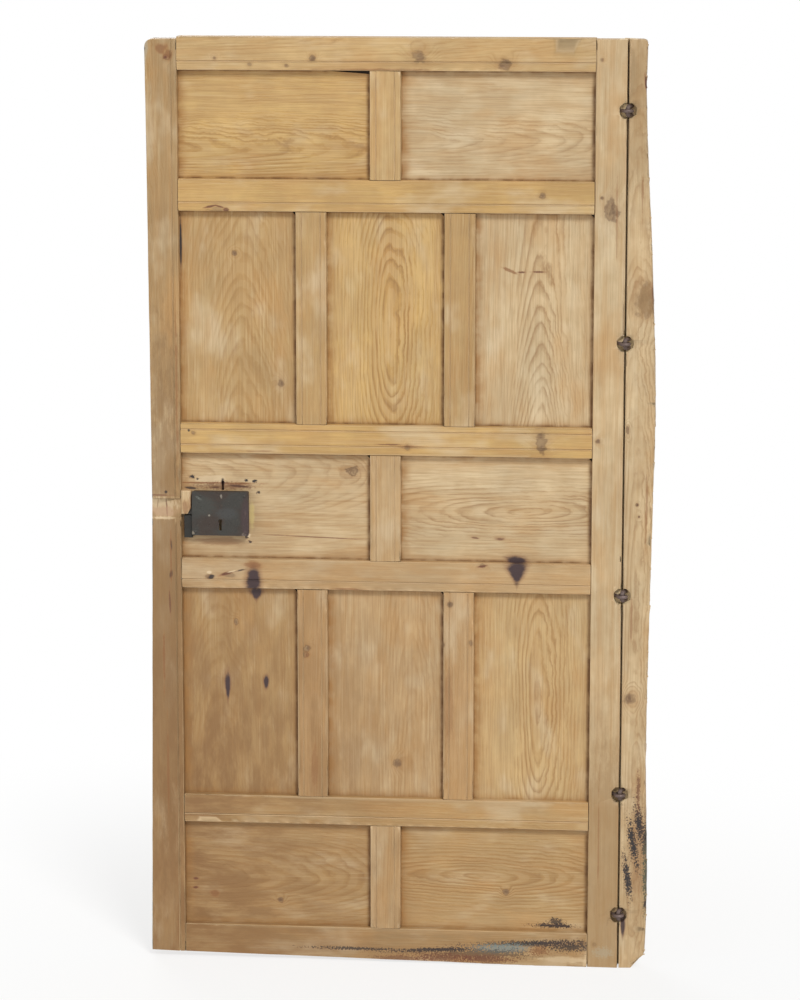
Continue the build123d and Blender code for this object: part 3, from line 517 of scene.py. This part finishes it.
def stripped_pine(node):
    """Old pine, stripped in a bath and waxed.

    The eye sees soft early wood, darker late wood standing a little proud, bleached and
    honey blotches, dark knots, and wax and dirt at the panels' edges. Painted shade darkens
    the panels' grooves and their seams under the rails and beside the muntins, and painted
    light brightens the arrises, the beads and the notches round the hinge eyes.
    """
    colours = bpy.context.scene.door_colours
    material, tree = start_material("stripped_pine_" + node)
    tone, clarity = AGE[node]
    base = getattr(colours, tone)
    vertical = GRAIN[node][0] == "z"
    place = add(tree, "ShaderNodeTexCoord")
    point = place.outputs["Object"]

    def figure(name):
        """Noise of one figure, drawn out along this board's grain."""
        across, along, detail, roughness, away = FIGURES[name]
        drawn_out = (across, across, along) if vertical else (along, across, across)
        spread = add(tree, "ShaderNodeMapping", {0: point, "Location": (away,) * 3, "Scale": drawn_out})
        noise = add(tree, "ShaderNodeTexNoise", {
            "Vector": spread.outputs[0], "Scale": 1.0, "Detail": detail, "Roughness": roughness}, label=name)
        return noise.outputs["Fac"]

    def tinted(share, tint):
        """The colour so far, with a share of one tint over it."""
        return mixed(tree, share, colour, linear(TINTS[tint]))

    pit, torn, lumps, fibre = (figure(name) for name in ("pits", "torn fibres", "lumps", "fibres"))
    streak, cloud, blotch = (figure(name) for name in ("streaks", "clouds", "blotches"))
    honey, bleach, darkening = (figure(name) for name in ("honey", "bleached", "darkening"))
    bends = 0.0
    knots = []
    for x, z, half_w, half_h, dark in KNOTS.get(node, ()):
        reach = spot_distance(tree, point, x, z, half_w, half_h)
        knots.append((add(tree, "ShaderNodeMath", {0: lumps, 1: 2.6, 2: reach},
                          operation="MULTIPLY_ADD").outputs[0], dark))
        swell = faded(tree, reach, 0.6, 3.4, -0.012, 0.0)
        bends = add(tree, "ShaderNodeMath", {0: bends, 1: swell}, operation="ADD").outputs[0]
    late, slow = grown_rings(tree, point, GRAIN[node], bends, DRAWN_IN.get(node, 1.0))
    colour = mixed(tree, faded(tree, cloud, 0.36, 0.64, 0.0, 1.0), linear(base, 0.88), linear(base, 1.08))
    colour = tinted(faded(tree, blotch, 0.38, 0.66, 0.30, 0.0), "blotch")
    colour = tinted(faded(tree, honey, 0.48, 0.72, 0.0, 0.45), "honey")
    colour = tinted(faded(tree, slow, 0.4, 0.7, 0.0, 0.25), "slow ring")
    colour = tinted(faded(tree, streak, 0.50, 0.70, 0.0, 0.40), "streak")
    colour = tinted(faded(tree, bleach, 0.50, 0.74, 0.0, 0.50), "bleached")
    pale = faded(tree, late, 0.0, 0.15, 0.22 * clarity, 0.0)
    colour = tinted(pale, "early wood")
    late = add(tree, "ShaderNodeMath", {0: late, 1: clarity}, operation="MULTIPLY").outputs[0]
    colour = mixed(tree, late, colour, linear(colours.late_wood))
    drawn = 0.24 if node.startswith("panel") else 0.18
    colour = tinted(faded(tree, fibre, 0.36, 0.56, drawn, 0.0), "dark fibre")
    colour = tinted(faded(tree, fibre, 0.54, 0.72, 0.0, drawn), "pale fibre")
    colour = tinted(faded(tree, pit, 0.30, 0.22, 0.0, 0.6), "pit")
    apart = add(tree, "ShaderNodeSeparateXYZ", {0: point})
    # Darker towards the bottom and towards the left, in streaky patches.
    low_down = faded(tree, apart.outputs["Z"], 1.25, 0.40, 0.0, 1.0)
    leftward = faded(tree, apart.outputs["X"], 0.25, -0.52, 0.10, 0.78)
    share = add(tree, "ShaderNodeMath", {0: low_down, 1: leftward}, operation="MULTIPLY").outputs[0]
    share = add(tree, "ShaderNodeMath", {0: share, 1: faded(tree, darkening, 0.36, 0.64, 1.3, 0.65)},
                operation="MULTIPLY").outputs[0]
    colour = tinted(share, "darkened")
    turned = add(tree, "ShaderNodeSeparateXYZ", {0: place.outputs["Normal"]})
    facing = turned.outputs["Y"]
    # The back is plain: the painted shade in the recesses, the painted light in the notches and the stains
    # stay on the face and the edges.
    not_back = faded(tree, facing, 0.1, 0.4, 1.0, 0.0)
    if node.startswith("panel"):
        seam, margin = margins(tree, point, node)
        colour = tinted(margin, "waxed margin")
        # Painted shadow in the seams under the rails and beside the muntins, dirt in the other seams.
        colour = tinted(seam, "seam shade and dirt")
        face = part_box(node)[0].y
        # Painted shade: the panel's surfaces from 1 to 4 mm behind its face and deeper, in its grooves and
        # chipped corners, turn almost black.
        deep = faded(tree, apart.outputs["Y"], face + 1 * MM, face + 4 * MM, 0.0, 0.95)
        deep = add(tree, "ShaderNodeMath", {0: deep, 1: not_back}, operation="MULTIPLY").outputs[0]
        colour = mixed(tree, deep, colour, linear(colours.recess_shade, 0.15))
    else:
        # Painted light: the rounded arrises and the walls of the beads just behind the face are painted
        # paler, as a highlight along the arrises and against the shade in the beads.
        shallow = faded(tree, apart.outputs["Y"], HOME.y + 2.5 * MM, HOME.y + 3.5 * MM, 1.0, 0.0)
        rubbed = add(tree, "ShaderNodeMath", {0: faded(tree, facing, -0.97, -0.85, 0.0, 0.55), 1: shallow},
                     operation="MULTIPLY").outputs[0]
        colour = tinted(rubbed, "rubbed")
    if node in ("hinge_stile", "hanging_post"):
        # Painted light: front-facing wood sunk behind the face within 18 to 20 mm of the hinge line, in the
        # notches round the eyes, is painted paler against the shade in the notches.
        beside = add(tree, "ShaderNodeMath", {0: apart.outputs["X"], 1: -HINGE_LINE}, operation="ADD")
        beside = add(tree, "ShaderNodeMath", {0: beside.outputs[0]}, operation="ABSOLUTE").outputs[0]
        near = faded(tree, beside, 18 * MM, 20 * MM, 0.95, 0.0)
        sunk = faded(tree, apart.outputs["Y"], HOME.y + 1 * MM, HOME.y + 3 * MM, 0.0, 1.0)
        notch_light = add(tree, "ShaderNodeMath", {0: near, 1: sunk}, operation="MULTIPLY").outputs[0]
        notch_light = add(tree, "ShaderNodeMath", {0: notch_light, 1: not_back}, operation="MULTIPLY").outputs[0]
        # The long edges that close against each other get no painted notch light.
        sideways = add(tree, "ShaderNodeMath", {0: turned.outputs["X"]}, operation="ABSOLUTE").outputs[0]
        notch_light = add(tree, "ShaderNodeMath", {0: notch_light, 1: faded(tree, sideways, 0.8, 0.95, 1.0, 0.0)},
                      operation="MULTIPLY").outputs[0]
        colour = tinted(notch_light, "painted notch light")
    for distance, dark in knots:
        heart = mixed(tree, faded(tree, torn, 0.4, 0.6, 0.0, 1.0), linear(TINTS["knot dark"]),
                      linear(TINTS["knot pale"]))
        colour = tinted(faded(tree, distance, 3.5, 2.15, 0.0, 0.5 * dark), "knot halo")
        colour = tinted(faded(tree, distance, 2.45, 2.1, 0.0, 0.85 * dark), "knot rim")
        colour = mixed(tree, faded(tree, distance, 2.15, 1.8, 0.0, min(1.0, dark + 0.1)), colour, heart)
        colour = tinted(faded(tree, distance, 1.65, 1.35, 0.0, 0.6 * dark), "knot heart")
    clean = colour
    # Stains over the clean colour, and the few painted shadows and lights listed among them.
    for x, z, half_w, half_h, dark, ragged, lean, widening, spot_colour in MARKS.get(node, ()):
        core, fringe = STAINS[spot_colour]
        reach = spot_distance(tree, point, x, z, half_w, half_h, lean, widening)
        speckle = pit if ragged > 1.3 else torn
        loose = add(tree, "ShaderNodeMath", {0: speckle, 1: ragged * 2.4, 2: reach},
                    operation="MULTIPLY_ADD").outputs[0]
        edge = 0.9 + 1.2 * ragged
        around = faded(tree, loose, edge + 0.5, edge - 0.1, 0.0, dark * 0.5)
        inside = faded(tree, loose, edge + 0.1, edge - 0.35, 0.0, dark)
        colour = mixed(tree, around, colour, linear(fringe))
        colour = mixed(tree, inside, colour, linear(core))
    if node in MARKS:
        colour = mixed(tree, not_back, clean, colour)
    height = add(tree, "ShaderNodeMath", {0: fibre, 1: 0.5, 2: late}, operation="MULTIPLY_ADD")
    height = add(tree, "ShaderNodeMath", {0: torn, 1: 0.9, 2: height.outputs[0]}, operation="MULTIPLY_ADD")
    rough = faded(tree, cloud, 0.3, 0.7, 0.52, 0.66)
    finish_material(tree, colour, height.outputs[0], 0.7 * MM, rough)
    return material


def forged_iron(name, base, dark=1.0, rusty=0.85, spots=()):
    """Forged iron, hammered by hand and brown with old wax and rust.

    The eye sees a dull dark skin with shallow pits, browner patches and rubbed high spots.
    """
    colours, sizes = bpy.context.scene.door_colours, bpy.context.scene.door_sizes
    material, tree = start_material("forged_iron_" + name)
    point = add(tree, "ShaderNodeTexCoord").outputs["Object"]
    pits = add(tree, "ShaderNodeTexNoise", {"Vector": point, "Scale": 1 / sizes.pit_size, "Detail": 4.0,
                                           "Roughness": 0.6})
    patches = add(tree, "ShaderNodeTexNoise", {"Vector": point, "Scale": 26.0, "Detail": 3.0})
    dents = add(tree, "ShaderNodeTexNoise", {"Vector": point, "Scale": 60.0, "Detail": 2.0})
    colour = mixed(tree, faded(tree, patches.outputs["Fac"], 0.42, 0.62, 0.0, rusty),
                   linear(base, dark), linear(colours.rust, dark))
    # Listed spots over the iron: painted highlights where light glints, and rubbed, scraped and stained
    # spots.
    for x, z, half_w, half_h, lean, spot_colour in spots:
        reach = spot_distance(tree, point, x, z, half_w, half_h, lean)
        loose = add(tree, "ShaderNodeMath", {0: pits.outputs["Fac"], 1: 2.0, 2: reach},
                    operation="MULTIPLY_ADD")
        colour = mixed(tree, faded(tree, loose.outputs[0], 2.1, 1.6, 0.0, 0.8), colour, linear(spot_colour))
    high_spot = faded(tree, pits.outputs["Fac"], 0.60, 0.76, 0.0, 0.45)
    colour = mixed(tree, high_spot, colour, linear(colours.rubbed_iron, dark))
    in_pit = faded(tree, pits.outputs["Fac"], 0.40, 0.28, 0.0, 0.6)
    colour = mixed(tree, in_pit, colour, linear(colours.pitted_iron))
    height = add(tree, "ShaderNodeMath", {0: dents.outputs["Fac"], 1: 2.2, 2: pits.outputs["Fac"]},
                 operation="MULTIPLY_ADD")
    rough = faded(tree, pits.outputs["Fac"], 0.3, 0.7, 0.66, 0.44)
    finish_material(tree, colour, height.outputs[0], 0.7 * MM, rough, metallic=0.5)
    return material


def studio_paper():
    """Matt studio paper: even and pale.

    To the camera and in reflections it is almost white, further off quite white, and near
    the object it takes its shadow.
    """
    material, tree = start_material("studio_paper")
    paint = add(tree, "ShaderNodeBsdfDiffuse", {"Color": linear("F4F4F2")})
    white = add(tree, "ShaderNodeEmission", {"Color": linear("FFFFFF"), "Strength": 1.0})
    place = add(tree, "ShaderNodeTexCoord").outputs["Object"]
    away = add(tree, "ShaderNodeVectorMath", {0: place}, operation="LENGTH").outputs["Value"]
    glow = faded(tree, away, 0.5, 2.0, 0.72, 1.0)
    share = add(tree, "ShaderNodeMath", {0: seen_directly(tree), 1: glow}, operation="MULTIPLY")
    mix = add(tree, "ShaderNodeMixShader", {0: share.outputs[0], 1: paint.outputs[0], 2: white.outputs[0]})
    add(tree, "ShaderNodeOutputMaterial", {"Surface": mix.outputs[0]})
    return material


def seen_directly(tree):
    """1 for what the camera sees, itself or in metal or glass."""
    path = add(tree, "ShaderNodeLightPath")
    seen = add(tree, "ShaderNodeMath", {0: path.outputs["Is Camera Ray"], 1: path.outputs["Is Glossy Ray"]},
               operation="MAXIMUM")
    return add(tree, "ShaderNodeMath", {0: seen.outputs[0], 1: path.outputs["Is Transmission Ray"]},
               operation="MAXIMUM").outputs[0]


def pick_only(obj):
    """Deselect everything and make one object selected and active."""
    bpy.ops.object.select_all(action="DESELECT")
    obj.select_set(True)
    bpy.context.view_layer.objects.active = obj


def sliced_copy(node, direction, step):
    """Merged copy of a CAD node, cut across its length so that its edges can wander."""
    piece = bpy.data.objects.new(node + "_worn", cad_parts[node].data.copy())
    bpy.context.scene.collection.objects.link(piece)
    piece.data.materials.clear()
    pick_only(piece)
    low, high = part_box(node)
    axis = "xyz".index(direction)
    count = int((high[axis] - low[axis]) / step)
    bpy.ops.object.mode_set(mode="EDIT")
    bpy.ops.mesh.select_all(action="SELECT")
    bpy.ops.mesh.remove_doubles(threshold=0.01 * MM)
    normal = [0, 0, 0]
    normal[axis] = 1
    for k in range(1, count):
        place = list(low)
        place[axis] = low[axis] + (high[axis] - low[axis]) * k / count
        bpy.ops.mesh.select_all(action="SELECT")
        bpy.ops.mesh.bisect(plane_co=place, plane_no=normal)
    bpy.ops.object.mode_set(mode="OBJECT")
    return piece


def wear_down(piece, name, depth, wave, group=""):
    """Push the surface inwards by a wandering amount."""
    texture = bpy.data.textures.new(name, "CLOUDS")
    texture.noise_scale = wave
    texture.noise_depth = 3
    worn = piece.modifiers.new(name, "DISPLACE")
    worn.texture = texture
    worn.texture_coords = "LOCAL"
    worn.mid_level = 0.0
    worn.strength = -depth
    worn.vertex_group = group
    pick_only(piece)
    bpy.ops.object.modifier_apply(modifier=name)


def front_group(piece):
    """Weights that leave a board's back and joints alone: 1 at the face, 0 from 6 mm behind it."""
    group = piece.vertex_groups.new(name="front")
    for vertex in piece.data.vertices:
        share = 1 - (vertex.co.y - HOME.y - WORN_DEPTH) / WORN_FADE
        group.add([vertex.index], max(0.0, min(1.0, share)), "REPLACE")


def shade_by_angle(piece):
    """Smooth shading that keeps the arrises."""
    pick_only(piece)
    bpy.ops.object.shade_smooth_by_angle(angle=math.radians(32))


def dress_board(node):
    """Worn copy of a board in its own pine, in place of its node."""
    sizes = bpy.context.scene.door_sizes
    piece = sliced_copy(node, GRAIN[node][0], sizes.slice_length)
    front_group(piece)
    wear_down(piece, node + "_wander", sizes.edge_wear, WANDER_WAVE, "front")
    wear_down(piece, node + "_nicks", sizes.edge_wear * 0.5, NICK_WAVE, "front")
    piece.data.materials.append(stripped_pine(node))
    shade_by_angle(piece)
    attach(piece, "leaf")
    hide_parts(node)
    return piece


class DOOR_OT_boards(bpy.types.Operator):
    """Make the stiles, rails and muntins with worn arrises, each cut from its own tree"""
    bl_idname = "door.boards"
    bl_label = "Stiles, rails and muntins"

    def execute(self, context):
        for node in RAILS + MUNTINS + ("lock_stile", "hinge_stile"):
            dress_board(node)
        return {"FINISHED"}


class DOOR_OT_post(bpy.types.Operator):
    """Make the hewn hanging post with its wandering outer edge"""
    bl_idname = "door.post"
    bl_label = "Hanging post"

    def execute(self, context):
        sizes = context.scene.door_sizes
        piece = sliced_copy("hanging_post", "z", sizes.slice_length * 0.5)
        front_group(piece)
        outer = piece.vertex_groups.new(name="outer_edge")
        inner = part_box("hanging_post")[0].x + HEWN_START
        for vertex in piece.data.vertices:
            share = (vertex.co.x - inner) / HEWN_FADE
            outer.add([vertex.index], max(0.0, min(1.0, share)), "REPLACE")
        wear_down(piece, "post_wander", sizes.edge_wear, POST_WANDER_WAVE, "front")
        wear_down(piece, "post_hewn", sizes.hewn_depth, HEWN_WAVE, "outer_edge")
        wear_down(piece, "post_nicks", sizes.hewn_depth * 0.15, HEWN_NICK_WAVE, "outer_edge")
        piece.data.materials.append(stripped_pine("hanging_post"))
        shade_by_angle(piece)
        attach(piece, "post")
        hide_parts("hanging_post")
        return {"FINISHED"}


class DOOR_OT_panels(bpy.types.Operator):
    """Give each panel and the filler block its own pine"""
    bl_idname = "door.panels"
    bl_label = "Panels"

    def execute(self, context):
        for node in PANELS + ("filler_block",):
            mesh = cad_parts[node].data
            mesh.materials.clear()
            mesh.materials.append(stripped_pine(node))
        return {"FINISHED"}


class DOOR_OT_irons(bpy.types.Operator):
    """Give the hinge eyes and the lock their forged iron"""
    bl_idname = "door.irons"
    bl_label = "Hinge eyes and lock"

    def execute(self, context):
        colours = context.scene.door_colours
        eyes = forged_iron("eyes", colours.hinge_iron, 1.3, 0.5)
        lock = forged_iron("lock", colours.iron, 0.72, 0.75, PLATE_MARKS_AND_GLINTS)
        # The side lug's iron is painted darker than the plate's, as the shade of the plate beside it.
        lug = forged_iron("lug", colours.iron, 0.45, 0.3)
        for node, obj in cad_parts.items():
            if node in GRAIN:
                continue
            obj.data.materials.clear()
            obj.data.materials.append(eyes if "eye_" in node else lug if node == "side_lug" else lock)
        return {"FINISHED"}


class DOOR_OT_stage(bpy.types.Operator):
    """Set the floor, the backdrop, the lights and the camera"""
    bl_idname = "door.stage"
    bl_label = "Stage"

    def execute(self, context):
        scene = context.scene
        bpy.ops.object.select_all(action="DESELECT")
        bpy.ops.mesh.primitive_plane_add(size=24, location=(0, 0, 0))
        floor = context.object
        floor.name = "studio_floor"
        floor.data.materials.append(studio_paper())
        scene.view_settings.view_transform = "Standard"
        world = bpy.data.worlds.new("studio_light")
        scene.world = world
        world.use_nodes = True
        tree = world.node_tree
        tree.nodes.clear()
        fill = add(tree, "ShaderNodeBackground", {"Color": linear("FFFFFF"), "Strength": ROOM_STRENGTH})
        white = add(tree, "ShaderNodeBackground", {"Color": linear("FFFFFF"), "Strength": 1.0})
        seen = seen_directly(tree)
        mix = add(tree, "ShaderNodeMixShader", {0: seen, 1: fill.outputs[0], 2: white.outputs[0]})
        add(tree, "ShaderNodeOutputWorld", {"Surface": mix.outputs[0]})
        bpy.ops.object.light_add(type="SUN", location=(2.0, -3.8, 4.0))
        sun = context.object
        sun.name = "window_light"
        sun.data.energy = WINDOW_STRENGTH
        sun.data.angle = math.radians(WINDOW_SPREAD)
        sun.rotation_euler = Vector(WINDOW_DIRECTION).to_track_quat("-Z", "Y").to_euler()
        for name, place, size, power in LAMPS:
            bpy.ops.object.light_add(type="AREA", location=place)
            lamp = context.object
            lamp.name = name
            lamp.data.size = size
            lamp.data.energy = power
            towards = Vector(DOOR_MIDDLE) - Vector(place)
            lamp.rotation_euler = towards.to_track_quat("-Z", "Y").to_euler()
        self.set_camera(scene)
        return {"FINISHED"}

    def set_camera(self, scene):
        """Camera at the photograph's place, fitted to the door's straight edges."""
        data = bpy.data.cameras.new("photo_camera")
        camera = bpy.data.objects.new("photo_camera", data)
        scene.collection.objects.link(camera)
        data.sensor_fit = "VERTICAL"
        data.sensor_height = 36
        data.lens = data.sensor_height * FOCAL_LENGTH / PHOTO_HEIGHT
        yaw, pitch, roll = (math.radians(angle) for angle in CAMERA_TURN)
        turn = (Matrix.Rotation(yaw, 4, "Z") @ Matrix.Rotation(math.pi / 2 - pitch, 4, "X")
                @ Matrix.Rotation(-roll, 4, "Z"))
        camera.matrix_world = Matrix.Translation(at(*CAMERA_PLACE)) @ turn
        scene.camera = camera


class DOOR_PT_pieces(bpy.types.Panel):
    """Lists the door's pieces, sizes and colours"""
    bl_idname = "DOOR_PT_pieces"
    bl_label = "Panel door"
    bl_space_type = "VIEW_3D"
    bl_region_type = "UI"
    bl_category = "Panel door"

    def draw(self, context):
        for group in (context.scene.door_sizes, context.scene.door_colours):
            for name in group.__annotations__:
                self.layout.prop(group, name)
        for operator in OPERATORS:
            self.layout.operator(operator.bl_idname)


OPERATORS = (DOOR_OT_boards, DOOR_OT_post, DOOR_OT_panels, DOOR_OT_irons, DOOR_OT_stage)
CLASSES = (DoorSizes, DoorColours) + OPERATORS + (DOOR_PT_pieces,)


def register():
    for entry in CLASSES:
        bpy.utils.register_class(entry)
    bpy.types.Scene.door_sizes = bpy.props.PointerProperty(type=DoorSizes)
    bpy.types.Scene.door_colours = bpy.props.PointerProperty(type=DoorColours)


def unregister():
    del bpy.types.Scene.door_colours
    del bpy.types.Scene.door_sizes
    for entry in reversed(CLASSES):
        bpy.utils.unregister_class(entry)


def main():
    register()
    bpy.ops.door.boards()
    bpy.ops.door.post()
    bpy.ops.door.panels()
    bpy.ops.door.irons()
    bpy.ops.door.stage()


if __name__ == "__main__":
    main()
